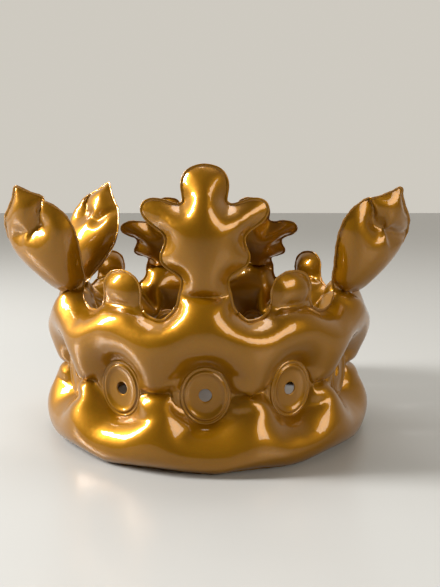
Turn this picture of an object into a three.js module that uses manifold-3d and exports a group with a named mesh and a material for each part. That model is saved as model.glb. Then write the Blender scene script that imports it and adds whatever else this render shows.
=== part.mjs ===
// An inflatable crown of welded vinyl film: two soft chambers, one on the other, are rolled into a ring and
// joined at the back, and carry eleven inflated points (three stars, four leaves, four knobs) along their top.
// An oval weld with a punched hole sits under each point, where the two films are fused and the chambers are
// pinched in. A mouth valve with a push-in stem sits low on the inner wall, towards the back.
//
// Millimetres, +Z up, the front star on -Y. The origin is the middle of the head opening, on the table.
import * as THREE from "three";
import { mergeVertices } from "three/addons/utils/BufferGeometryUtils.js";
import Module from "manifold-3d";

// --- Driving dimensions -------------------------------------------------------------------------------------
const RING_RADIUS = 121; // to the middle of the chamber wall
const WAIST_HEIGHT = 54; // where the two chambers meet, at the middle of the oval welds
const VALLEY_HEIGHT = 111; // top of the upper chamber between the points
const SEAT_HEIGHT = 127; // top of the upper chamber under a point
const FILM = 0.8; // two fused films
const HEM_WIDTH = 4; // of the weld round the foot
const RIM_WIDTH = 3; // of the weld round the points and along the valleys
const GAP = 0.4; // between pieces that touch

const WELD_WIDTH = 35.5;
const WELD_HEIGHT = 42.5;
const WELD_HOLE = 9;
const DIMPLE_SIDES = 14;
const POCKET_FLARE = 9; // how much wider the dimple is at the surface than the weld, each side
const JOIN_WIDTH = 10; // of the upright weld at the back

// --- The points, clockwise from the front as seen from above ---------------------------------------------------
// Degrees: azimuth, outward lean, twist about the point's own length, and how far the lean heads off the radius.
const POINTS = [
  { name: "star_front", kind: "star", azimuth: 0, lean: 2, twist: 0, heading: 0 },
  { name: "knob_front_right", kind: "knob", azimuth: 31.4, lean: 4, twist: 0, heading: 0 },
  { name: "leaf_front_right", kind: "leaf", azimuth: 62.8, lean: 31, twist: -44, heading: 0 },
  { name: "leaf_rear_right", kind: "leaf", azimuth: 94.2, lean: 34, twist: -6, heading: 0 },
  { name: "knob_rear_right", kind: "knob", azimuth: 125.6, lean: 4, twist: 0, heading: 0 },
  { name: "star_rear_right", kind: "star", azimuth: 157, lean: -40, twist: 0, heading: 23 },
  { name: "star_rear_left", kind: "star", azimuth: 203, lean: -40, twist: 0, heading: -23 },
  { name: "knob_rear_left", kind: "knob", azimuth: 234.4, lean: 4, twist: 0, heading: 0 },
  { name: "leaf_rear_left", kind: "leaf", azimuth: 265.8, lean: -20, twist: 48, heading: 0 },
  { name: "leaf_front_left", kind: "leaf", azimuth: 297.2, lean: 31, twist: 44, heading: 0 },
  { name: "knob_front_left", kind: "knob", azimuth: 328.6, lean: 4, twist: 0, heading: 0 },
];

// Right half of each outline from below the root to the tip, as points of one smooth curve: across, up.
const OUTLINES = {
  star: {
    right: [[15, -14], [18, 2], [24, 13], [32, 23], [31, 36], [40, 50], [45, 58], [42, 66], [25, 66], [17, 70], [15, 81]],
    tip: 91,
    middle: 44,
    rootWidth: 18,
    thickness: 34,
    samples: 40,
  },
  leaf: {
    right: [[15, -14], [17, 0], [24, 14], [33, 32], [34, 54], [23, 71], [9, 83]],
    tip: 89,
    middle: 45,
    rootWidth: 17,
    thickness: 38,
    samples: 26,
  },
  knob: {
    right: [[15, -12], [17, 1], [13, 11]],
    tip: 16,
    middle: 2,
    rootWidth: 16,
    thickness: 24,
    samples: 18,
  },
};

// Sections of the two chambers, anticlockwise from the foot or the waist outside: radius, height.
const LOWER_SECTION = [[137, 0], [137, 1.6], [142, 12], [143, 26], [139, 40], [130, 53.6], [112, 53.6], [106, 42], [104.5, 27], [106, 12], [114, 0]];
const UPPER_SECTION = [[112, 54.4], [130, 54.4], [135, 66], [140, 84], [139, 101], [129, 111], [113, 111], [103, 101], [99, 84], [103, 66]];

// --- The mouth valve, on the inner wall at the back -------------------------------------------------------------
const VALVE = {
  azimuth: 142,
  height: 20,
  seatRadius: 8.6,
  flangeRadius: 8,
  flangeThickness: 1,
  stemRadius: 4.4,
  stemBore: 3,
  stemLength: 12,
  flapThickness: 0.8,
  plugRadius: 2.7,
  plugLength: 6,
  headThickness: 1.6,
  pocketRadius: 5.4,
  pocketDepth: 19,
};

const INNER_FACE = 103.5; // radius of the inner wall at the valve's height

const radians = THREE.MathUtils.degToRad;
const { cos, sin, abs, sqrt, PI } = Math;

const wasm = await Module();
wasm.setup();

// --- Solids ----------------------------------------------------------------------------------------------------
function toManifold(geometry) {
  const bare = geometry.clone();
  bare.deleteAttribute("normal");
  bare.deleteAttribute("uv");
  const merged = mergeVertices(bare, 1e-4);
  return new wasm.Manifold(
    new wasm.Mesh({
      numProp: 3,
      vertProperties: merged.attributes.position.array,
      triVerts: new Uint32Array(merged.index.array),
    }),
  );
}

function fromManifold(solid) {
  const mesh = solid.getMesh();
  const geometry = new THREE.BufferGeometry();
  geometry.setAttribute("position", new THREE.BufferAttribute(mesh.vertProperties, 3));
  geometry.setIndex(new THREE.BufferAttribute(mesh.triVerts, 1));
  geometry.computeVertexNormals();
  return geometry;
}

function indexed(points, faces) {
  const geometry = new THREE.BufferGeometry().setFromPoints(points);
  geometry.setIndex(faces);
  geometry.computeVertexNormals();
  return geometry;
}

// A closed ring: section(turn) gives the (radius, height) points of the section at that azimuth, anticlockwise.
function sweptRing(steps, section) {
  const points = [];
  const faces = [];
  const around = section(0).length;
  for (let i = 0; i < steps; i++) {
    const turn = (2 * PI * i) / steps;
    for (const [radius, height] of section(turn)) {
      points.push(new THREE.Vector3(radius * sin(turn), -radius * cos(turn), height));
    }
  }
  for (let i = 0; i < steps; i++) {
    for (let j = 0; j < around; j++) {
      const a = i * around + j;
      const b = i * around + ((j + 1) % around);
      const c = ((i + 1) % steps) * around + ((j + 1) % around);
      const d = ((i + 1) % steps) * around + j;
      faces.push(a, c, b, a, d, c);
    }
  }
  return indexed(points, faces);
}

// Where the polygon whose corners lie under the points, on a circle of radius 1, is at an azimuth.
function polygonRadius(turn) {
  const corners = POINTS.map((point) => radians(point.azimuth));
  const last = corners.findLastIndex((corner) => corner <= turn + 1e-9);
  const from = corners[last];
  const to = last + 1 < corners.length ? corners[last + 1] : corners[0] + 2 * PI;
  const half = (to - from) / 2;
  return cos(half) / cos(turn - from - half);
}

const RING_STEPS = 66;

// How high the top of the upper chamber is at an azimuth: up under each point, down in the valleys between.
function topHeight(turn) {
  let rise = 0;
  for (const { kind, azimuth } of POINTS) {
    const away = abs(((turn - radians(azimuth) + 3 * PI) % (2 * PI)) - PI) * RING_RADIUS;
    const slope = THREE.MathUtils.smoothstep(away, OUTLINES[kind].rootWidth - 7, OUTLINES[kind].rootWidth + 10);
    rise = Math.max(rise, 1 - slope);
  }
  return VALLEY_HEIGHT + (SEAT_HEIGHT - VALLEY_HEIGHT) * rise;
}

// The foot is a polygon: the lower chamber's outside is drawn in between the corners under the points.
function lowerSection(turn) {
  return LOWER_SECTION.map(([radius, height]) => {
    const drawn = radius > RING_RADIUS ? (1 - height / WAIST_HEIGHT) * 0.8 : 0;
    return [radius * (1 + drawn * (polygonRadius(turn) - 1)), height];
  });
}

function upperSection(turn) {
  const shoulder = 84;
  const stretch = (topHeight(turn) - shoulder) / (VALLEY_HEIGHT - shoulder);
  return UPPER_SECTION.map(([radius, height]) => {
    return [radius, height > shoulder ? shoulder + (height - shoulder) * stretch : height];
  });
}

// An hourglass along the radius through one oval weld, for the dimples of the chambers.
function dimple(azimuth) {
  const reach = 28;
  const neck = (WELD_WIDTH / 2 + GAP) / cos(PI / DIMPLE_SIDES);
  const profile = [
    [0, -reach], [neck + POCKET_FLARE, -reach], [neck, -FILM], [neck, FILM], [neck + POCKET_FLARE, reach], [0, reach],
  ];
  const geometry = new THREE.LatheGeometry(profile.map(([x, y]) => new THREE.Vector2(x, y)), DIMPLE_SIDES);
  geometry.scale(1, 1, (WELD_HEIGHT / 2 + GAP) / neck);
  return placedOnRing(geometry, azimuth, RING_RADIUS, WAIST_HEIGHT);
}

// Moves a geometry whose +Y points along the radius, inwards, onto the ring.
function placedOnRing(geometry, azimuth, radius, height) {
  geometry.translate(0, -radius, height);
  geometry.rotateZ(radians(azimuth));
  return geometry;
}

function cylinderOnRing(radius, from, to, azimuth, height) {
  const geometry = new THREE.CylinderGeometry(radius, radius, to - from, 24);
  geometry.translate(0, (from + to) / 2, 0);
  return placedOnRing(geometry, azimuth, 0, height);
}

// An upright hourglass through the wall at the back, where the ends of the strip are welded together.
function joinCut() {
  const neck = JOIN_WIDTH / 2 + GAP;
  const reach = 28;
  const wide = neck + 13;
  const plan = [[-wide, -reach], [wide, -reach], [neck, -FILM], [neck, FILM], [wide, reach], [-wide, reach], [-neck, FILM], [-neck, -FILM]];
  const shape = new THREE.Shape(plan.map(([x, y]) => new THREE.Vector2(x, y)));
  const geometry = new THREE.ExtrudeGeometry(shape, { depth: SEAT_HEIGHT + 20, bevelEnabled: false });
  return placedOnRing(geometry, 180, RING_RADIUS, -10);
}

function chamber(section, cuts) {
  let solid = toManifold(sweptRing(RING_STEPS, section));
  for (const cut of cuts) solid = solid.subtract(toManifold(cut));
  return fromManifold(solid);
}

// --- Points: an outline filled out on both sides, with a flat weld round it --------------------------------------
function outlinePoints({ right, tip, samples }) {
  const corners = [
    ...right.map(([x, y]) => new THREE.Vector3(x, y, 0)),
    new THREE.Vector3(0, tip, 0),
    ...right.toReversed().map(([x, y]) => new THREE.Vector3(-x, y, 0)),
  ];
  return new THREE.CatmullRomCurve3(corners, true, "centripetal").getSpacedPoints(samples).slice(0, samples);
}

const DOME = [1, 0.86, 0.55]; // shares of the outline at which the filled-out sides have rings of points

function pointGeometry(outline) {
  const edge = outlinePoints(outline);
  const middle = new THREE.Vector3(0, outline.middle, 0);
  const points = [];
  const faces = [];
  const count = edge.length;
  const rings = [{ share: 1, grow: RIM_WIDTH, half: FILM / 2 }];
  for (const share of DOME) {
    const half = Math.max(FILM / 2, (outline.thickness / 2) * sqrt(1 - share * share));
    rings.push({ share, grow: 0, half });
  }
  for (const side of [-1, 1]) {
    for (const { share, grow, half } of rings) {
      for (const corner of edge) {
        const arm = corner.clone().sub(middle);
        const length = arm.length() * share + grow;
        const spot = middle.clone().add(arm.setLength(length));
        points.push(new THREE.Vector3(spot.x, side * half, spot.y));
      }
    }
    points.push(new THREE.Vector3(0, (side * outline.thickness) / 2, outline.middle));
  }
  const perSide = rings.length * count + 1;
  const quad = (a, b, c, d) => faces.push(a, b, c, a, c, d);
  for (let i = 0; i < count; i++) {
    const next = (i + 1) % count;
    for (let ring = 0; ring + 1 < rings.length; ring++) {
      const [a, b] = [ring * count + i, ring * count + next];
      const [c, d] = [(ring + 1) * count + next, (ring + 1) * count + i];
      quad(a, b, c, d);
      quad(perSide + d, perSide + c, perSide + b, perSide + a);
    }
    const last = (rings.length - 1) * count;
    faces.push(last + i, last + next, perSide - 1);
    faces.push(perSide + last + next, perSide + last + i, 2 * perSide - 1);
    quad(next, i, perSide + i, perSide + next);
  }
  return indexed(points, faces);
}

// --- Colours -----------------------------------------------------------------------------------------------------
const goldFilm = new THREE.MeshStandardMaterial({ color: 0xa8741a, roughness: 0.28, metalness: 0.75 });
const weldedFilm = new THREE.MeshStandardMaterial({ color: 0x8f611c, roughness: 0.35, metalness: 0.6 });
const valveVinyl = new THREE.MeshStandardMaterial({ color: 0xd9d3c4, roughness: 0.4, metalness: 0 });

const crown = new THREE.Group();

function add(name, geometry, material, parent = crown) {
  const mesh = new THREE.Mesh(geometry, material);
  mesh.name = name;
  parent.add(mesh);
  return mesh;
}

// --- Chambers ------------------------------------------------------------------------------------------------------
function addChambers() {
  const dimples = POINTS.map((point) => dimple(point.azimuth));
  const inner = -INNER_FACE;
  const seat = cylinderOnRing(VALVE.seatRadius, inner - 2.5, inner + 10, VALVE.azimuth, VALVE.height);
  const pocket = cylinderOnRing(
    VALVE.pocketRadius, inner - VALVE.pocketDepth, inner, VALVE.azimuth, VALVE.height,
  );
  add("lower_chamber", chamber(lowerSection, [...dimples, joinCut(), seat, pocket]), goldFilm);
  add("upper_chamber", chamber(upperSection, [...dimples, joinCut()]), goldFilm);
}

// --- Welds -----------------------------------------------------------------------------------------------------------
function ovalWeld() {
  const shape = new THREE.Shape();
  shape.absellipse(0, 0, WELD_WIDTH / 2, WELD_HEIGHT / 2, 0, 2 * PI);
  const hole = new THREE.Path();
  hole.absellipse(0, 0, WELD_HOLE / 2, WELD_HOLE / 2, 0, 2 * PI);
  shape.holes.push(hole);
  const geometry = new THREE.ExtrudeGeometry(shape, { depth: FILM, bevelEnabled: false, curveSegments: 10 });
  geometry.translate(0, 0, -FILM / 2);
  geometry.rotateX(PI / 2);
  return geometry;
}

function addWelds() {
  POINTS.forEach((point, i) => {
    const weld = ovalWeld();
    const name = `oval_weld_${String(i + 1).padStart(2, "0")}`;
    add(name, placedOnRing(weld, point.azimuth, RING_RADIUS, WAIST_HEIGHT), weldedFilm);
  });
  const foot = (turn) => {
    const facet = 1 + 0.8 * (polygonRadius(turn) - 1);
    const inside = LOWER_SECTION[0][0] * facet + GAP;
    return [[inside, 0.2], [inside + HEM_WIDTH, 0.2], [inside + HEM_WIDTH, 0.2 + FILM], [inside, 0.2 + FILM]];
  };
  add("foot_weld", sweptRing(RING_STEPS, foot), weldedFilm);
  POINTS.forEach((point, i) => {
    const next = POINTS[(i + 1) % POINTS.length];
    add(`valley_weld_${String(i + 1).padStart(2, "0")}`, valleyWeld(point, next), weldedFilm);
  });
  const join = new THREE.BoxGeometry(JOIN_WIDTH, FILM, VALLEY_HEIGHT - 6);
  add("back_join", placedOnRing(join, 180, RING_RADIUS, VALLEY_HEIGHT / 2), weldedFilm);
}

// A standing strip of film that follows the top of the upper chamber down and up between two points.
function valleyWeld(point, next) {
  const step = (2 * PI) / RING_STEPS;
  const clear = (kind) => (OUTLINES[kind].rootWidth + RIM_WIDTH + 1) / RING_RADIUS;
  const first = radians(point.azimuth) + clear(point.kind);
  const last = radians(next.azimuth + (next.azimuth < point.azimuth ? 360 : 0)) - clear(next.kind);
  const turns = [];
  for (let i = Math.ceil(first / step); i * step < last; i++) turns.push(i * step);
  const points = [];
  for (const turn of turns) {
    const under = topHeight(turn % (2 * PI)) + GAP;
    for (const [side, up] of [[-0.5, 0], [0.5, 0], [0.5, RIM_WIDTH], [-0.5, RIM_WIDTH]]) {
      const radius = RING_RADIUS + side * FILM;
      points.push(new THREE.Vector3(radius * sin(turn), -radius * cos(turn), under + up));
    }
  }
  const faces = [0, 1, 2, 0, 2, 3];
  for (let i = 0; i + 1 < turns.length; i++) {
    for (let j = 0; j < 4; j++) {
      const a = i * 4 + j;
      const b = i * 4 + ((j + 1) % 4);
      faces.push(a, b + 4, b, a, a + 4, b + 4);
    }
  }
  const end = (turns.length - 1) * 4;
  faces.push(end, end + 2, end + 1, end, end + 3, end + 2);
  return indexed(points, faces);
}

// --- Points ----------------------------------------------------------------------------------------------------------
// Each point leans out from its seat, and its underside is level with the top of the chamber.
function addPoints() {
  for (const { name, kind, azimuth, lean, twist, heading } of POINTS) {
    const geometry = pointGeometry(OUTLINES[kind]);
    geometry.rotateZ(radians(twist - heading));
    geometry.rotateX(radians(lean));
    geometry.rotateZ(radians(heading));
    placedOnRing(geometry, azimuth, RING_RADIUS, SEAT_HEIGHT);
    add(name, fromManifold(toManifold(geometry).trimByPlane([0, 0, 1], SEAT_HEIGHT + GAP)), goldFilm);
  }
}

// --- Mouth valve: its axis is the radius, and it opens towards the middle of the crown ----------------------------------
function lathed(profile, segments = 24) {
  return new THREE.LatheGeometry(profile.map(([x, y]) => new THREE.Vector2(x, y)), segments);
}

function addValve() {
  const face = INNER_FACE + 2; // radius at which the flange's back lies in its seat
  const onRing = (geometry) => placedOnRing(geometry, VALVE.azimuth, face, VALVE.height);
  const flange = lathed([
    [VALVE.stemRadius + GAP, 0], [VALVE.flangeRadius, 0], [VALVE.flangeRadius, VALVE.flangeThickness],
    [VALVE.stemRadius + GAP, VALVE.flangeThickness], [VALVE.stemRadius + GAP, 0],
  ]);
  add("valve_flange", onRing(flange), valveVinyl);

  const top = VALVE.flangeThickness + 1;
  const stem = lathed([
    [VALVE.stemBore, top - VALVE.stemLength], [VALVE.stemRadius, top - VALVE.stemLength],
    [VALVE.stemRadius, top], [VALVE.stemBore, top], [VALVE.stemBore, top - VALVE.stemLength],
  ]);
  add("valve_stem", onRing(stem), valveVinyl);

  const flapTop = top - VALVE.stemLength - GAP;
  const flap = new THREE.CylinderGeometry(VALVE.stemRadius, VALVE.stemRadius, VALVE.flapThickness, 24);
  flap.translate(0, flapTop - VALVE.flapThickness / 2, 0);
  add("valve_flap", onRing(flap), valveVinyl);

  const under = top + GAP;
  const stopper = lathed([
    [0, under - VALVE.plugLength], [VALVE.plugRadius, under - VALVE.plugLength], [VALVE.plugRadius, under],
    [VALVE.stemRadius, under], [VALVE.stemRadius, under + VALVE.headThickness], [0, under + VALVE.headThickness],
  ]);
  add("valve_stopper", onRing(stopper), valveVinyl);
}

addChambers();
addWelds();
addPoints();
addValve();

export default crown;
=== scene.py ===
# An inflatable crown of welded gold vinyl. The flat pattern of its two films is blown up as simulated cloth,
# then split into chambers and points, with weld flanges, punched oval welds and the back join added.
# Sizes are millimetres in the pattern, and metres once a piece is made.
import math
from collections import namedtuple

import bpy
import numpy as np
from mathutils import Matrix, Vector
from mathutils.geometry import delaunay_2d_cdt


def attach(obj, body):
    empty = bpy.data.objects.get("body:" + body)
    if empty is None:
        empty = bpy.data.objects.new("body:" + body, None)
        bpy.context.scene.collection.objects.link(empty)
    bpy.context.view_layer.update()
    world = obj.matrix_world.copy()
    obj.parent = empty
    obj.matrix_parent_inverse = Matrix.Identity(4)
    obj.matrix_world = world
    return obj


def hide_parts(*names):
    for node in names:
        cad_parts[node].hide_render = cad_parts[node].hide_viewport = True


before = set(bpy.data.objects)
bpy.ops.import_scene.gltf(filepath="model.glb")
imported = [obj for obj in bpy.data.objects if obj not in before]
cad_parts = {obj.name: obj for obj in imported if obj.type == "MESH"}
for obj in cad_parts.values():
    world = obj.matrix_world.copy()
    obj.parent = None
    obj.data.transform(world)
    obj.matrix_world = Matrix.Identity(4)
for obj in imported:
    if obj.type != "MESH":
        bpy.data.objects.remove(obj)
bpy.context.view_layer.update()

MM = 0.001

# --- The flat pattern: across the strip is u, from the front star, and up is v, from the foot ---------------
EDGE = 5.0  # side of a triangle of film
CREASE_STEP = EDGE * 0.7  # between the vertices of a crease
RIM_SHARE = 0.8  # of EDGE, between the vertices of an oval weld's rim
ROW_SHARE = 0.866  # of EDGE, between the rows of triangles
JITTER = 0.12  # of EDGE, by which the vertices are moved so that no row shows
CLEARANCE = 0.6  # of EDGE, kept free of other vertices round outlines and creases
PITCH = 77.0  # between neighbouring points
BACK = 113.0  # between the two rear stars, where the ends of the strip are joined
JOIN = 8.0  # width of the flat join between the two ends
WAIST = 70.0  # height of the waist, and of the middle of each oval weld
VALLEY = 140.0  # height of the strip between two points
TALLEST = 140  # no point rises further above the valleys
KNOB_REACH = 34  # no knob rises further above the valleys
POINT_START = 6  # height above the valleys where the upper chamber ends and a point's own piece begins
ON_LINE = 1  # a vertex this close to the foot or to the valleys' height lies on it
WELD_WIDTH, WELD_HEIGHT = 35.5, 42.5
HOLE = 4.6  # radius of the punched hole

# The crease at the waist: how far it keeps from the oval welds and from the ends of the strip, and how far
# apart it leaves the two films.
WAIST_CLEAR, WAIST_END, WAIST_APART = 4, 10, 9

# Where each kind of point folds in, at its neck and near a leaf's tip: height above the valleys, half the
# length of the fold, and how far apart it leaves the two films.
FOLDS = {"star": [(15, 13, 7)], "leaf": [(11, 12, 7), (77, 13, 13)], "knob": [(5, 12, 7)]}

# Place is counted along the strip, from the front star. The outward lean, the twist, and how far the lean
# heads off the radius are in degrees.
Point = namedtuple("Point", "name kind place lean twist heading")
POINTS = [
    Point("star_front", "star", 0, 2, 0, 0),
    Point("knob_front_right", "knob", 1, 4, 0, 0),
    Point("leaf_front_right", "leaf", 2, 31, 44, 0),
    Point("leaf_rear_right", "leaf", 3, 36, 6, 0),
    Point("knob_rear_right", "knob", 4, 4, 0, 0),
    Point("star_rear_right", "star", 5, -42, 0, 23),
    Point("star_rear_left", "star", -5, -42, 0, -23),
    Point("knob_rear_left", "knob", -4, 4, 0, 0),
    Point("leaf_rear_left", "leaf", -3, -20, -60, 0),
    Point("leaf_front_left", "leaf", -2, 30, -44, 0),
    Point("knob_front_left", "knob", -1, 4, 0, 0),
]

# Right half of each point's outline, from the valley to the tip.
OUTLINES = {
    "star": [
        (36, 0), (26, 6), (19.5, 15), (20, 27), (30, 36), (35, 43), (33.5, 54), (35, 62), (43, 70),
        (48, 77), (47, 84), (39, 87), (26, 86), (19.5, 88), (18.5, 95), (17, 103), (11.5, 110),
    ],
    "leaf": [
        (34, 0), (22, 5), (18.5, 12), (24, 26), (32, 43), (37, 60), (36, 76), (27, 91), (13, 103), (3.5, 110),
    ],
    "knob": [(33, 0), (23, 3), (18.5, 9), (19, 18), (16, 26), (9, 31)],
}
TIPS = {"star": 113, "leaf": 114, "knob": 32.5}  # heights above the valleys
CURVE_STEPS = 10  # of the curve between two places of an outline

# How firmly the seam of each kind of point, and that of the foot, keeps to its place. A point's hold starts
# above its neck and grows over a length.
HOLD = {"star": 0.35, "leaf": 0.45, "knob": 0.1}
HEM_HOLD = 0.4
NECK, NECK_GROWTH = 15, 20

# --- Where the welds come to lie once it is blown up: distances from the axis, and heights ------------------
RING, WAIST_Z = 121.0, 54.0
HEM_RING, HEM_Z = 137.0, 1.0
VALLEY_RING, VALLEY_Z = 119.0, 112.0
SHRINK = 0.94  # by which a point is drawn in as it is filled
LEAN_LENGTH, LEAN_STEPS = 22, 24  # above the valleys, the length over which a point bends to its lean
FLOOR_GAP = 0.2

# The valve: its azimuth in degrees, its height, the distance of its face from the axis, and the radius of the
# film cut out behind it.
VALVE_AZIMUTH, VALVE_Z, VALVE_FACE, VALVE_CUT = 142.0, 20.0, 105.9, 6.2
SEAT_RADIUS, SEAT_BLEND = 10, 10
INNER_WALL = 80, 121  # distances from the axis that belong to the inner wall

LENGTH = (len(POINTS) - 1) * PITCH + BACK - JOIN
FLAT_RING = (LENGTH + JOIN) / (2 * math.pi)


def smoothstep(x):
    """From 0 to 1 as x does, level at both ends."""
    x = np.clip(x, 0, 1)
    return x * x * (3 - 2 * x)


def spline(points, steps):
    """A smooth curve through the points."""
    p = np.array(points, float)
    p = np.vstack([2 * p[0] - p[1], p, 2 * p[-1] - p[-2]])
    out = []
    for a, b, c, d in zip(p, p[1:], p[2:], p[3:]):
        square, cube = 2 * a - 5 * b + 4 * c - d, 3 * b - a - 3 * c + d
        for t in np.arange(steps) / steps:
            out.append(0.5 * (2 * b + (c - a) * t + square * t**2 + cube * t**3))
    return np.array(out + [p[-2]])


def spaced(path, step):
    """The path with points about step apart."""
    path = np.array(path, float)
    run = np.r_[0, np.cumsum(np.linalg.norm(np.diff(path, axis=0), axis=1))]
    at = np.linspace(0, run[-1], max(2, round(run[-1] / step)) + 1)
    return np.array([np.interp(at, run, path[:, k]) for k in range(path.shape[1])]).T


def outline_top():
    """The top of the strip from left to right, up and down round each point."""
    line = [(-LENGTH / 2, VALLEY)]
    for point in sorted(POINTS, key=lambda p: p.place):
        right = OUTLINES[point.kind]
        whole = [(-x, y) for x, y in right] + [(0, TIPS[point.kind])] + right[::-1]
        whole = [(point.place * PITCH + x, VALLEY + y) for x, y in whole]
        line += [tuple(p) for p in spline(whole, CURVE_STEPS)]
    return spaced(line + [(LENGTH / 2, VALLEY)], EDGE)


def weld_rim(place):
    """Round the oval weld at a place along the strip."""
    count = round(math.pi * (WELD_WIDTH + WELD_HEIGHT) / 2 / EDGE / RIM_SHARE)
    angle = np.arange(count) * 2 * math.pi / count
    return np.c_[place * PITCH + WELD_WIDTH / 2 * np.cos(angle), WAIST + WELD_HEIGHT / 2 * np.sin(angle)]


def inside(loop, points):
    """Which of the points are inside the closed loop."""
    x, y = points.T
    hit = np.zeros(len(points), bool)
    for (x1, y1), (x2, y2) in zip(loop, np.roll(loop, -1, axis=0)):
        if y1 != y2:
            hit ^= ((y1 > y) != (y2 > y)) & (x < (x2 - x1) * (y - y1) / (y2 - y1) + x1)
    return hit


def waist_lines():
    """Between the welds, where the film folds in at the waist."""
    stops = sorted(p.place * PITCH for p in POINTS)
    clear = WELD_WIDTH / 2 + WAIST_CLEAR
    spans = [(a + clear, b - clear) for a, b in zip(stops, stops[1:])]
    spans += [(stops[-1] + clear, LENGTH / 2 - WAIST_END), (WAIST_END - LENGTH / 2, stops[0] - clear)]
    return [spaced([(a, WAIST), (b, WAIST)], CREASE_STEP) for a, b in spans]


def fold_lines():
    """Across each point, with how far apart the films stay."""
    lines = []
    for point in POINTS:
        for rise, half, apart in FOLDS[point.kind]:
            u, v = point.place * PITCH, VALLEY + rise
            lines.append((spaced([(u - half, v), (u + half, v)], CREASE_STEP), apart))
    return lines


def flat_mesh():
    """Triangles of one film, and the vertices of its outline, its weld rims, the waist and the folds."""
    top = outline_top()
    end = np.linspace(0, VALLEY, round(VALLEY / EDGE) + 1)
    right = np.c_[np.full(len(end), LENGTH / 2), end[::-1]]
    foot = spaced([(LENGTH / 2, 0), (-LENGTH / 2, 0)], EDGE)
    left = np.c_[np.full(len(end), -LENGTH / 2), end]
    outline = np.vstack([top[:-1], right[:-1], foot[:-1], left[:-1]])
    rims = [weld_rim(p.place) for p in POINTS]
    waist, folds = waist_lines(), fold_lines()
    creases = waist + [line for line, apart in folds]
    rows = np.arange(0, VALLEY + TALLEST, EDGE * ROW_SHARE)
    columns = np.arange(-LENGTH / 2, LENGTH / 2, EDGE)
    grid = np.array([(x + (EDGE / 2 if j % 2 else 0), y) for j, y in enumerate(rows) for x in columns])
    grid += np.random.default_rng(3).uniform(-JITTER, JITTER, grid.shape) * EDGE
    keep = inside(outline, grid)
    for rim in rims:
        keep &= ~inside(rim, grid)
    fixed = np.vstack([outline, *rims, *creases])
    grid = grid[keep]
    grid = grid[np.min(((grid[:, None] - fixed[None]) ** 2).sum(2), axis=1) > (CLEARANCE * EDGE) ** 2]
    edges, start, spans = [], 0, []
    for line, closed in [(loop, True) for loop in [outline] + rims] + [(line, False) for line in creases]:
        count = len(line)
        edges += [(start + i, start + (i + 1) % count) for i in range(count if closed else count - 1)]
        spans.append((start, start + count))
        start += count
    found = delaunay_2d_cdt([Vector(p) for p in np.vstack([fixed, grid])], edges, [], 0, 1e-5)
    corners, found_faces, found_from = found[0], found[2], found[3]
    flat = np.array([tuple(p) for p in corners])
    faces = np.array([f for f in found_faces if len(f) == 3])
    centre = flat[faces].mean(axis=1)
    keep = inside(outline, centre)
    for rim in rims:
        keep &= ~inside(rim, centre)
    now = {old: new for new, olds in enumerate(found_from) for old in olds}
    spans = [[now[i] for i in range(a, b)] for a, b in spans]
    first, second = 1 + len(rims), 1 + len(rims) + len(waist)
    folds = [(line, apart) for line, (_, apart) in zip(spans[second:], folds)]
    return flat, faces[keep], spans[0], len(top), len(end), spans[1:first], spans[first:second], folds


# --- Places of the film: rolled up flat, and where its held parts go ----------------------------------------
def rolled(u, v, side):
    """A place of the strip rolled into a ring, before it is filled; side is how far out it lies."""
    angle = u / FLAT_RING
    return ((FLAT_RING + side) * math.sin(angle), -(FLAT_RING + side) * math.cos(angle), v)


def nearest_point(u, v=0.0):
    """The point that a place belongs to: the arms of a star reach over the knobs beside it."""
    tall = [p for p in POINTS if v < VALLEY + KNOB_REACH or p.kind != "knob"]
    return min(tall, key=lambda p: abs(p.place * PITCH - u))


def in_weld(u, v):
    """Inside an oval weld or on its rim."""
    across = (u - nearest_point(u).place * PITCH) / (WELD_WIDTH / 2)
    return across**2 + ((v - WAIST) / (WELD_HEIGHT / 2)) ** 2 < 1.001


def around(angle, across, out, up):
    """A place on the ring: across along the tangent and out along the radius at the angle."""
    sine, cosine = math.sin(angle), math.cos(angle)
    return (out * sine + across * cosine, -out * cosine + across * sine, up)


def held(u, v):
    """Where a place of the strip is pulled to as it is filled."""
    low = min(1, v / WAIST)
    high = float(np.clip((v - WAIST) / (VALLEY - WAIST), 0, 1))
    ring = HEM_RING + (RING - HEM_RING) * low + (VALLEY_RING - RING) * high
    up = HEM_Z + (WAIST_Z - HEM_Z) * low + (VALLEY_Z - WAIST_Z) * high
    point = nearest_point(u, v)
    angle = point.place * PITCH / FLAT_RING
    across = u - point.place * PITCH
    if in_weld(u, v):
        return around(angle, across, RING, WAIST_Z + v - WAIST)
    if v <= VALLEY:
        return around(u / FLAT_RING, 0, ring, up)
    rise = (v - VALLEY) * SHRINK
    bend = float(smoothstep(rise / LEAN_LENGTH))
    steps = np.linspace(0, rise, LEAN_STEPS)
    leaning = math.radians(point.lean) * smoothstep(steps / LEAN_LENGTH)
    out, climb = np.trapz(np.sin(leaning), steps), np.trapz(np.cos(leaning), steps)
    along = (1 - bend) * ring * math.sin(across / FLAT_RING) + bend * across * SHRINK
    bow = (1 - bend) * ring * (math.cos(across / FLAT_RING) - 1)
    turn = math.radians(point.twist) * bend
    x = along * math.cos(turn) - bow * math.sin(turn)
    y = along * math.sin(turn) + bow * math.cos(turn)
    tilt = math.radians(point.lean) * bend
    aside = math.radians(point.heading)
    x, out = x + out * math.sin(aside), out * math.cos(aside)
    return around(angle, x, ring + out + y * math.cos(tilt), VALLEY_Z + climb - y * math.sin(tilt))


# --- Blowing it up, at ten times the size -------------------------------------------------------------------
SIM = 0.01  # pattern millimetres to the simulation's units
START_SIDE = 0.6  # how far each film lies from the seam at the start
PRESSURE = 26
HELD_FRAME = 20  # when the pull towards the held places is complete
LAST_FRAME = 50
SOFT_HEIGHT, SOFT_BLEND = 25, 30  # softened fully this near to the waist, and ever less over this much more
SOFTNESS = 0.5


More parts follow.
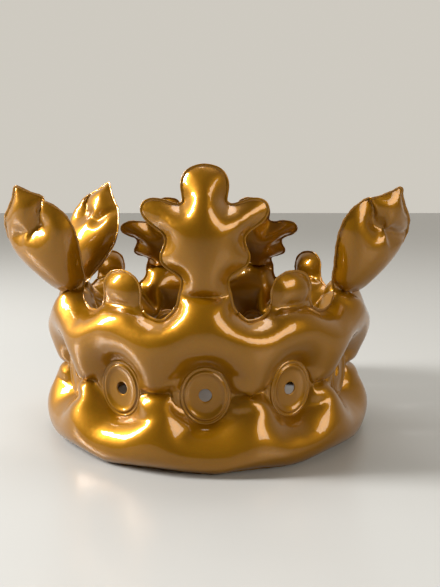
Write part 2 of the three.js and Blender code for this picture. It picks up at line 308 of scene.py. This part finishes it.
def tube_film():
    """The two films blown up: their faces and places, and the vertices of every seam."""
    flat, faces, outline, top_count, end_count, rims, waist, folds = flat_mesh()
    seam = set(outline).union(*rims)
    places, goals, holds, heights = [], [], [], []
    outer, inner = {}, {}

    def add(u, v, side, hold):
        places.append(rolled(u, v, side))
        goals.append(held(u, v))
        holds.append(hold)
        heights.append(v)
        return len(places) - 1

    rim_set = set().union(*rims)
    for i, (u, v) in enumerate(flat):
        if i in seam:
            hold = 0.0
            if i in rim_set:
                hold = 1.0
            elif v < ON_LINE:
                hold = HEM_HOLD
            elif v > VALLEY + ON_LINE:
                hold = HOLD[nearest_point(u, v).kind] * float(smoothstep((v - VALLEY - NECK) / NECK_GROWTH))
            outer[i] = inner[i] = add(u, v, 0, hold)
        else:
            outer[i] = add(u, v, START_SIDE, 0)
            inner[i] = add(u, v, -START_SIDE, 0)
    sides = [[outer[i] for i in f] for f in faces] + [[inner[i] for i in f[::-1]] for f in faces]
    regions = [region(*flat[f].mean(axis=0)) for f in faces] * 2
    ties = []
    for line, apart in [(line, WAIST_APART) for line in waist] + folds:
        hop = max(1, round(apart / CREASE_STEP))
        for a, b in zip(line, line[hop:]):
            ties += [(outer[a], inner[b]), (inner[a], outer[b])]
    for point, rim in zip(POINTS, rims):
        hub = add(point.place * PITCH, WAIST, 0, 1.0)
        ties += [(outer[i], hub) for i in rim]
    right = [outer[i] for i in outline[top_count - 1 : top_count - 1 + end_count]][::-1]
    left = [outer[i] for i in outline[len(outline) - end_count + 1 :]] + [outer[outline[0]]]
    for j, (a, b) in enumerate(zip(left, right)):
        ties.append((a, b))
        if j:
            ties += [(left[j - 1], b), (a, right[j - 1])]
    film = {
        "faces": sides,
        "regions": regions,
        "ties": ties,
        "top": [(outer[i], *flat[i]) for i in outline[:top_count]],
        "hem": [outer[i] for i in outline[top_count + end_count - 2 : len(outline) - end_count + 2]],
        "left": left,
        "right": right,
        "rims": [[outer[i] for i in rim] for rim in rims],
        "waist": [side[i] for line in waist for i in line for side in (outer, inner)],
    }
    blown = blow_up(np.array(places) * SIM, np.array(goals) * SIM, holds, film) / SIM
    film["places"] = softened(film, blown, np.array(heights))
    return film


def softened(film, places, heights):
    """Evens out the pleats beside the waist, which the coarse mesh makes too sharp, and leaves its crease."""
    faces = np.array(film["faces"])
    pairs = np.vstack([faces[:, [0, 1]], faces[:, [1, 2]], faces[:, [2, 0]]])
    pairs = np.vstack([pairs, pairs[:, ::-1]])
    share = 1 - smoothstep((np.abs(heights - WAIST) - SOFT_HEIGHT) / SOFT_BLEND)
    for line in seam_lines(film) + [film["waist"]]:
        share[line] = 0
    count = np.maximum(np.bincount(pairs[:, 0], minlength=len(places)), 1)[:, None]
    total = np.zeros_like(places)
    np.add.at(total, pairs[:, 0], places[pairs[:, 1]])
    return places + SOFTNESS * share[:, None] * (total / count - places)


def region(u, v):
    """Which piece of film a place belongs to: the lower chamber, the upper one or a point."""
    if v < WAIST:
        return 0
    if v < VALLEY + POINT_START:
        return 1
    return 2 + POINTS.index(nearest_point(u, v))


def blow_up(places, goals, holds, film):
    """The places of the films once pressure has filled them, with each held vertex pulled to its goal."""
    mesh = bpy.data.meshes.new("blown")
    mesh.from_pydata([tuple(p) for p in places], film["ties"], film["faces"])
    mesh.update()
    obj = bpy.data.objects.new("blown", mesh)
    scene = bpy.context.scene
    scene.collection.objects.link(obj)
    obj.shape_key_add(name="Basis")
    key = obj.shape_key_add(name="held")
    key.data.foreach_set("co", goals.ravel())
    key.value = 0
    key.keyframe_insert("value", frame=1)
    key.value = 1
    key.keyframe_insert("value", frame=HELD_FRAME)
    group = obj.vertex_groups.new(name="held")
    for i, hold in enumerate(holds):
        if hold:
            group.add([i], hold, "REPLACE")
    cloth = obj.modifiers.new("Cloth", "CLOTH")
    settings = cloth.settings
    settings.quality = 6
    settings.mass = 0.3
    settings.air_damping = 1.0
    settings.bending_model = "ANGULAR"
    settings.tension_stiffness = 20
    settings.compression_stiffness = 2
    settings.shear_stiffness = 20
    settings.bending_stiffness = 10
    settings.tension_damping = settings.compression_damping = settings.shear_damping = 5
    settings.vertex_group_mass = "held"
    settings.pin_stiffness = 1
    settings.use_pressure = True
    settings.uniform_pressure_force = PRESSURE
    settings.effector_weights.gravity = 0
    cloth.collision_settings.use_collision = False
    cloth.point_cache.frame_start, cloth.point_cache.frame_end = 1, LAST_FRAME
    for frame_number in range(1, LAST_FRAME + 1):
        scene.frame_set(frame_number)
    blown = obj.evaluated_get(bpy.context.evaluated_depsgraph_get()).data
    result = np.empty(len(places) * 3)
    blown.vertices.foreach_get("co", result)
    bpy.data.objects.remove(obj)
    scene.frame_set(1)
    return result.reshape(-1, 3)


# --- Meshes -------------------------------------------------------------------------------------------------
def piece(name, places, faces, material, nodes=()):
    """A new piece of the crown's body, from places in millimetres."""
    mesh = bpy.data.meshes.new(name)
    mesh.from_pydata([tuple(float(x) * MM for x in p) for p in places], [], faces)
    mesh.update()
    mesh.polygons.foreach_set("use_smooth", [True] * len(mesh.polygons))
    mesh.materials.append(material)
    obj = bpy.data.objects.new(name, mesh)
    bpy.context.scene.collection.objects.link(obj)
    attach(obj, "crown_body")
    if nodes:
        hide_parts(*nodes)
    return obj


def valve_seat(places):
    """The inner wall is flat round the mouth valve, where the valve's flange is welded on."""
    angle = math.radians(VALVE_AZIMUTH)
    outward = np.array([math.sin(angle), -math.cos(angle), 0])
    depth = places @ outward
    apart = np.linalg.norm(places - np.array([0, 0, VALVE_Z]) - depth[:, None] * outward, axis=1)
    inner = (depth > INNER_WALL[0]) & (depth < INNER_WALL[1])
    near = np.where(inner, 1 - smoothstep((apart - SEAT_RADIUS) / SEAT_BLEND), 0)
    return places + (near * (VALVE_FACE - depth))[:, None] * outward


def rested(places):
    """The underside is pressed flat where the crown stands on the table."""
    out = np.array(places, float)
    z = out[:, 2]
    out[:, 2] = (z + np.sqrt(z * z + 4)) / 2
    return out


def refined(film):
    """The blown film divided once: its places, its faces and the region of each face."""
    mesh = bpy.data.meshes.new("fine")
    mesh.from_pydata([tuple(p) for p in film["places"]], [], film["faces"])
    for _ in range(2 + len(POINTS)):
        mesh.materials.append(None)
    mesh.polygons.foreach_set("material_index", film["regions"])
    crease = mesh.attributes.new("crease_edge", "FLOAT", "EDGE")
    seam = {tuple(sorted(pair)) for line in seam_lines(film) for pair in zip(line, line[1:])}
    crease.data.foreach_set("value", [1.0 if tuple(sorted(e.vertices)) in seam else 0.0 for e in mesh.edges])
    obj = bpy.data.objects.new("fine", mesh)
    bpy.context.scene.collection.objects.link(obj)
    subdivide = obj.modifiers.new("Subdivision", "SUBSURF")
    subdivide.levels = subdivide.render_levels = 1
    fine = obj.evaluated_get(bpy.context.evaluated_depsgraph_get()).data
    places = np.empty(len(fine.vertices) * 3)
    fine.vertices.foreach_get("co", places)
    faces = np.array([list(p.vertices) for p in fine.polygons])
    regions = np.array([p.material_index for p in fine.polygons])
    bpy.data.objects.remove(obj)
    return places.reshape(-1, 3), faces, regions


def seam_lines(film):
    """The vertices of each seam in order, with the rims closed."""
    top = [i for i, u, v in film["top"]]
    return [top, film["hem"], film["left"], film["right"]] + [rim + rim[:1] for rim in film["rims"]]


def under_valve(places):
    """Where the film is cut out behind the valve's flange."""
    angle = math.radians(VALVE_AZIMUTH)
    seat = np.array([VALVE_FACE * math.sin(angle), -VALVE_FACE * math.cos(angle), VALVE_Z])
    return np.linalg.norm(places - seat, axis=1) < VALVE_CUT


def film_pieces(film, material):
    """Makes the film of each chamber and point, and gives the places they were cut from."""
    places, faces, regions = refined(film)
    places = rested(valve_seat(places))
    half = len(faces) // 2
    a, b, c, d = (places[faces[:, k]] for k in range(4))
    flow = np.cross(c - a, d - b)
    normals = [np.zeros_like(places), np.zeros_like(places)]
    for side, rows in enumerate((slice(0, half), slice(half, None))):
        for k in range(4):
            np.add.at(normals[side], faces[rows, k], flow[rows])
        normals[side] /= np.maximum(np.linalg.norm(normals[side], axis=1), 1e-12)[:, None]
    names = ["lower_chamber", "upper_chamber"] + [p.name for p in POINTS]
    for index, name in enumerate(names):
        rows = np.nonzero((regions == index) & ~under_valve(places[faces].mean(axis=1)))[0]
        used, local = np.unique(faces[rows], return_inverse=True)
        obj = piece(name + "_film", places[used], local.reshape(-1, 4).tolist(), material, [name])
        corner_normals = []
        for row in rows:
            side = 0 if row < half else 1
            corner_normals += [tuple(normals[side][i]) for i in faces[row]]
        obj.data.normals_split_custom_set(corner_normals)
    return places


# --- Weld flanges -------------------------------------------------------------------------------------------
RIM_WIDTH, VALLEY_WIDTH, FOOT_WIDTH = 1.7, 2.2, 3.6
RIM_START = 5  # height above the valleys where the flange of a valley turns into the rim of a point
BACK_VALLEY = 6  # number of the weld in the valley at the back
FLANGE_INSIDE = 1.0  # how far a flange reaches in past its seam
EDGE_ROUND = 0.3  # width of its rounded edge
RIPPLES = [(0.25, 0.9, 0), (0.15, 2.3, 1)]  # height, turn at each step along the run, and start


def outward(film, places, line):
    """At each seam vertex of the line, the direction away from both films."""
    near = {i: [] for i in line}
    seam = set().union(*[set(s) for s in seam_lines(film)])
    for face in film["faces"]:
        for i in face:
            if i in near:
                near[i] += [j for j in face if j not in seam]
    away = np.zeros((len(line), 3))
    for k, i in enumerate(line):
        if near[i]:
            away[k] = places[i] - places[near[i]].mean(axis=0)
    run = places[line]
    tangent = np.gradient(run, axis=0)
    for _ in range(3):
        tangent /= np.maximum(np.linalg.norm(tangent, axis=1), 1e-9)[:, None]
        away -= (away * tangent).sum(axis=1)[:, None] * tangent
        away /= np.maximum(np.linalg.norm(away, axis=1), 1e-9)[:, None]
        padded = np.vstack([away[:1], away, away[-1:]])
        away = (padded[:-2] + 2 * padded[1:-1] + padded[2:]) / 4
    return away / np.maximum(np.linalg.norm(away, axis=1), 1e-9)[:, None]


def flange(name, run, away, width, material, nodes=()):
    """A flat weld along the run, from just inside the seam out to its width, with a rounded edge."""
    fine = spline(np.c_[run, away], 3)
    run, away = fine[:, :3], fine[:, 3:]
    away = away / np.linalg.norm(away, axis=1)[:, None]
    tangent = np.gradient(run, axis=0)
    tangent /= np.maximum(np.linalg.norm(tangent, axis=1), 1e-9)[:, None]
    flat = np.cross(tangent, away)
    ripple = sum(height * np.sin(np.arange(len(run)) * turn + start) for height, turn, start in RIPPLES)
    upper = [(-FLANGE_INSIDE, 0.22), (width - EDGE_ROUND, 0.25), (width, 0.08)]
    section = upper + [(out, -thick) for out, thick in upper[::-1]]
    rings = []
    for out, thick in section:
        wave = ripple[:, None] * max(0, out) / width
        rings.append(run + away * out + flat * (thick + wave))
    count, places = len(section), np.stack(rings, axis=1).reshape(-1, 3)
    faces = []
    for i in range(len(run) - 1):
        for k in range(count):
            a, b = i * count + k, i * count + (k + 1) % count
            faces.append((a, b, b + count, a + count))
    faces += [tuple(range(count))[::-1], tuple((len(run) - 1) * count + k for k in range(count))]
    places[:, 2] = np.maximum(places[:, 2], FLOOR_GAP)
    obj = piece(name, places, faces, material, nodes)


def flanges(film, places, material):
    """The rim of each point, the valleys between them and the foot."""
    runs = []
    for i, u, v in film["top"]:
        if v > VALLEY + RIM_START:
            where = ("rim", POINTS.index(nearest_point(u, v)))
        else:
            where = ("valley", sum(p.place * PITCH < u for p in POINTS))
        if not runs or runs[-1][0] != where:
            if runs:
                runs[-1][1].append(i)
            runs.append((where, []))
        runs[-1][1].append(i)
    line = [i for i, u, v in film["top"]]
    away = dict(zip(line, outward(film, places, line)))
    for (what, k), run in runs:
        if what == "rim":
            name, nodes, width = POINTS[k].name + "_rim", (), RIM_WIDTH
        else:
            name, nodes, width = f"valley_flange_{k:02d}", valley_nodes(k), VALLEY_WIDTH
        flange(name, places[run], np.array([away[i] for i in run]), width, material, nodes)
    hem = film["hem"]
    flange("foot_flange", places[hem], outward(film, places, hem), FOOT_WIDTH, material, ["foot_weld"])


def valley_nodes(k):
    """The nodes that the k-th flange from the left replaces. The flange of the back valley is in two halves,
    and the first half stands for its node."""
    number = (k + BACK_VALLEY - 1) % len(POINTS) + 1
    return [f"valley_weld_{number:02d}"] if k < len(POINTS) else []


# --- Punched oval welds -------------------------------------------------------------------------------------
# From the rim to the hole: share of the weld's size, and half the thickness there.
WELD_PROFILE = [
    (1.05, 0.3), (1.01, 0.9), (0.97, 1.2), (0.94, 1.0), (0.91, 0.6), (0.88, 0.9), (0.85, 1.7), (0.81, 1.9),
    (0.76, 1.4), (0.7, 0.8), (0.6, 0.55), (0.45, 0.5), (0.33, 0.5),
]
OVAL_STEPS = 56
DISH = 1.2  # how deep the middle lies


def oval_weld(number, place, material):
    """A flat oval where both films are welded, with a bead round it and a hole through it."""
    profile = [(share * WELD_WIDTH / 2, share * WELD_HEIGHT / 2, thick) for share, thick in WELD_PROFILE]
    profile += [(HOLE + 0.5, HOLE + 0.6, 0.6), (HOLE + 0.1, HOLE + 0.2, 0.4)]
    loop = profile + [(a, b, -thick) for a, b, thick in profile[::-1]]
    places, faces = [], []
    angle = place * PITCH / FLAT_RING
    for j in range(OVAL_STEPS):
        turn = 2 * math.pi * j / OVAL_STEPS
        for a, b, thick in loop:
            dish = -DISH * (1 - min(1, (a / (WELD_WIDTH / 2)) ** 2))
            out, up = RING + thick + dish, WAIST_Z + b * math.sin(turn)
            places.append(around(angle, a * math.cos(turn), out, up))
    count = len(loop)
    for j in range(OVAL_STEPS):
        after = (j + 1) % OVAL_STEPS
        for k in range(count):
            beside = (k + 1) % count
            faces.append((j * count + k, after * count + k, after * count + beside, j * count + beside))
    obj = piece(f"oval_weld_{number:02d}_disc", places, faces, material, [f"oval_weld_{number:02d}"])


JOIN_LAP = 1.5  # how far the strip reaches over each end
JOIN_HALF = 0.45  # half its thickness
JOIN_BEAD = 0.25  # height of the bead near each of its edges
JOIN_SHARES = (0, 0.1, 0.5, 0.9, 1.0)  # across the strip, with the beads at the second and the fourth


def back_join(film, places, material):
    """The flat strip that joins the ends of the film."""
    left, right = places[film["left"]], places[film["right"]]
    across = right - left
    across /= np.linalg.norm(across, axis=1)[:, None]
    lines = [spline(line, 2) for line in (left - across * JOIN_LAP, right + across * JOIN_LAP)]
    up = np.gradient(lines[0], axis=0)
    face = np.cross(up, lines[1] - lines[0])
    face /= np.linalg.norm(face, axis=1)[:, None]
    rows = []
    for sign, shares in ((1, JOIN_SHARES), (-1, JOIN_SHARES[::-1])):
        for share in shares:
            bead = JOIN_BEAD if share in (JOIN_SHARES[1], JOIN_SHARES[3]) else 0
            rows.append(lines[0] * (1 - share) + lines[1] * share + face * sign * (JOIN_HALF + bead))
    count = len(rows)
    strip = np.stack(rows, axis=1).reshape(-1, 3)
    faces = []
    for i in range(len(lines[0]) - 1):
        for k in range(count):
            a, b = i * count + k, i * count + (k + 1) % count
            faces.append((a, b, b + count, a + count))
    faces += [tuple(range(count))[::-1], tuple((len(lines[0]) - 1) * count + k for k in range(count))]
    strip[:, 2] = np.maximum(strip[:, 2], FLOOR_GAP)
    obj = piece("back_join_strip", strip, faces, material, ["back_join"])


# --- Materials ----------------------------------------------------------------------------------------------
def shader(name):
    """A new material, with its nodes, its links and its shader."""
    material = bpy.data.materials.new(name)
    material.use_nodes = True
    nodes, links = material.node_tree.nodes, material.node_tree.links
    return material, nodes, links, nodes["Principled BSDF"]


def gold_vinyl(name, dark, light, roughness):
    """Satin pearl film: fine metal flake, faint cloudiness in colour and gloss, and a soft clear coat."""
    material, nodes, links, bsdf = shader(name)
    where = nodes.new("ShaderNodeTexCoord")
    cloud = nodes.new("ShaderNodeTexNoise")
    cloud.inputs["Scale"].default_value = 14
    cloud.inputs["Detail"].default_value = 3
    flake = nodes.new("ShaderNodeTexVoronoi")
    flake.inputs["Scale"].default_value = 2600
    grain = nodes.new("ShaderNodeTexNoise")
    grain.inputs["Scale"].default_value = 900
    grain.inputs["Detail"].default_value = 2
    for node in (cloud, flake, grain):
        links.new(where.outputs["Object"], node.inputs["Vector"])
    tint = nodes.new("ShaderNodeMix")
    tint.data_type = "RGBA"
    tint.inputs["A"].default_value = (*dark, 1)
    tint.inputs["B"].default_value = (*light, 1)
    links.new(cloud.outputs["Fac"], tint.inputs["Factor"])
    spark = nodes.new("ShaderNodeMix")
    spark.data_type = "RGBA"
    spark.blend_type = "MULTIPLY"
    spark.inputs["Factor"].default_value = 0.16
    links.new(tint.outputs["Result"], spark.inputs["A"])
    links.new(flake.outputs["Color"], spark.inputs["B"])
    links.new(spark.outputs["Result"], bsdf.inputs["Base Color"])
    gloss = nodes.new("ShaderNodeMapRange")
    gloss.inputs["To Min"].default_value = roughness - 0.05
    gloss.inputs["To Max"].default_value = roughness + 0.06
    links.new(cloud.outputs["Fac"], gloss.inputs["Value"])
    links.new(gloss.outputs["Result"], bsdf.inputs["Roughness"])
    bump = nodes.new("ShaderNodeBump")
    bump.inputs["Strength"].default_value = 0.06
    bump.inputs["Distance"].default_value = 0.0002
    links.new(grain.outputs["Fac"], bump.inputs["Height"])
    links.new(bump.outputs["Normal"], bsdf.inputs["Normal"])
    bsdf.inputs["Metallic"].default_value = 0.55
    bsdf.inputs["Specular IOR Level"].default_value = 0.15
    bsdf.inputs["Coat Weight"].default_value = 0.8
    bsdf.inputs["Coat Roughness"].default_value = 0.04
    return material


def valve_vinyl():
    """Soft milky vinyl, faintly cloudy."""
    material, nodes, links, bsdf = shader("valve_vinyl")
    where = nodes.new("ShaderNodeTexCoord")
    cloud = nodes.new("ShaderNodeTexNoise")
    cloud.inputs["Scale"].default_value = 160
    links.new(where.outputs["Object"], cloud.inputs["Vector"])
    tint = nodes.new("ShaderNodeMix")
    tint.data_type = "RGBA"
    tint.inputs["A"].default_value = (0.72, 0.69, 0.6, 1)
    tint.inputs["B"].default_value = (0.86, 0.84, 0.78, 1)
    links.new(cloud.outputs["Fac"], tint.inputs["Factor"])
    links.new(tint.outputs["Result"], bsdf.inputs["Base Color"])
    bsdf.inputs["Roughness"].default_value = 0.32
    bsdf.inputs["Subsurface Weight"].default_value = 0.25
    bsdf.inputs["Subsurface Radius"].default_value = (0.004, 0.003, 0.002)
    return material


# --- Camera, floor and light --------------------------------------------------------------------------------
def camera():
    data = bpy.data.cameras.new("camera")
    data.lens = 38.0
    obj = bpy.data.objects.new("camera", data)
    obj.location = (0.0106, -0.550, 0.194)
    obj.rotation_euler = (math.radians(90 - 8.7), 0, 0)
    bpy.context.scene.collection.objects.link(obj)
    bpy.context.scene.camera = obj


def floor():
    mesh = bpy.data.meshes.new("floor")
    half = 8.0
    corners = [(-half, -half, 0), (half, -half, 0), (half, half, 0), (-half, half, 0)]
    mesh.from_pydata(corners, [], [(0, 1, 2, 3)])
    obj = bpy.data.objects.new("floor", mesh)
    bpy.context.scene.collection.objects.link(obj)
    material, _, _, bsdf = shader("floor")
    bsdf.inputs["Base Color"].default_value = (0.43, 0.43, 0.42, 1)
    bsdf.inputs["Roughness"].default_value = 0.25
    mesh.materials.append(material)


def light(name, where, aim, size, power, colour=(1, 1, 1)):
    """A rectangular lamp that faces the place it is aimed at."""
    data = bpy.data.lights.new(name, "AREA")
    data.shape = "RECTANGLE"
    data.size, data.size_y = size
    data.energy = power
    data.color = colour
    obj = bpy.data.objects.new(name, data)
    obj.location = where
    obj.rotation_euler = (Vector(aim) - Vector(where)).to_track_quat("-Z", "Y").to_euler()
    bpy.context.scene.collection.objects.link(obj)


def lights():
    """A room that is bright behind the crown and dark in front of it, two windows and a ceiling lamp."""
    world = bpy.data.worlds.new("room")
    bpy.context.scene.world = world
    world.use_nodes = True
    nodes, links = world.node_tree.nodes, world.node_tree.links
    where = nodes.new("ShaderNodeTexCoord")
    apart = nodes.new("ShaderNodeSeparateXYZ")
    depth = nodes.new("ShaderNodeMapRange")
    depth.interpolation_type = "SMOOTHSTEP"
    depth.inputs["From Min"].default_value = -0.35
    depth.inputs["From Max"].default_value = 0.6
    shade = nodes.new("ShaderNodeMix")
    shade.data_type = "RGBA"
    shade.inputs["A"].default_value = (0.13, 0.11, 0.08, 1)
    shade.inputs["B"].default_value = (0.62, 0.59, 0.53, 1)
    links.new(where.outputs["Generated"], apart.inputs["Vector"])
    links.new(apart.outputs["Y"], depth.inputs["Value"])
    links.new(depth.outputs["Result"], shade.inputs["Factor"])
    links.new(shade.outputs["Result"], nodes["Background"].inputs["Color"])
    nodes["Background"].inputs["Strength"].default_value = 1.0
    light("window_left", (-1.5, -0.1, 0.95), (0, 0, 0.1), (0.3, 0.95), 62, (1, 0.99, 0.97))
    light("window_right", (1.1, -1.1, 0.8), (0, 0, 0.1), (0.9, 0.8), 14, (1, 0.95, 0.86))
    light("ceiling", (0.1, 0.5, 1.8), (0, 0, 0), (1.2, 0.7), 14)


# --- Building -----------------------------------------------------------------------------------------------
camera()
floor()
lights()

DARK_GOLD, LIGHT_GOLD = (0.28, 0.118, 0.0), (0.35, 0.15, 0.0)
gold = gold_vinyl("gold_film", DARK_GOLD, LIGHT_GOLD, 0.36)
gold_weld = gold_vinyl("welded_film", DARK_GOLD, LIGHT_GOLD, 0.4)
valve = valve_vinyl()

film = tube_film()
fine_places = film_pieces(film, gold)
flanges(film, fine_places, gold_weld)
for number, point in enumerate(POINTS, 1):
    oval_weld(number, point.place, gold_weld)
back_join(film, fine_places, gold_weld)
for name in ("valve_flange", "valve_stem", "valve_flap", "valve_stopper"):
    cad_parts[name].data.materials.clear()
    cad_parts[name].data.materials.append(valve)

bpy.context.scene.view_settings.view_transform = "Standard"
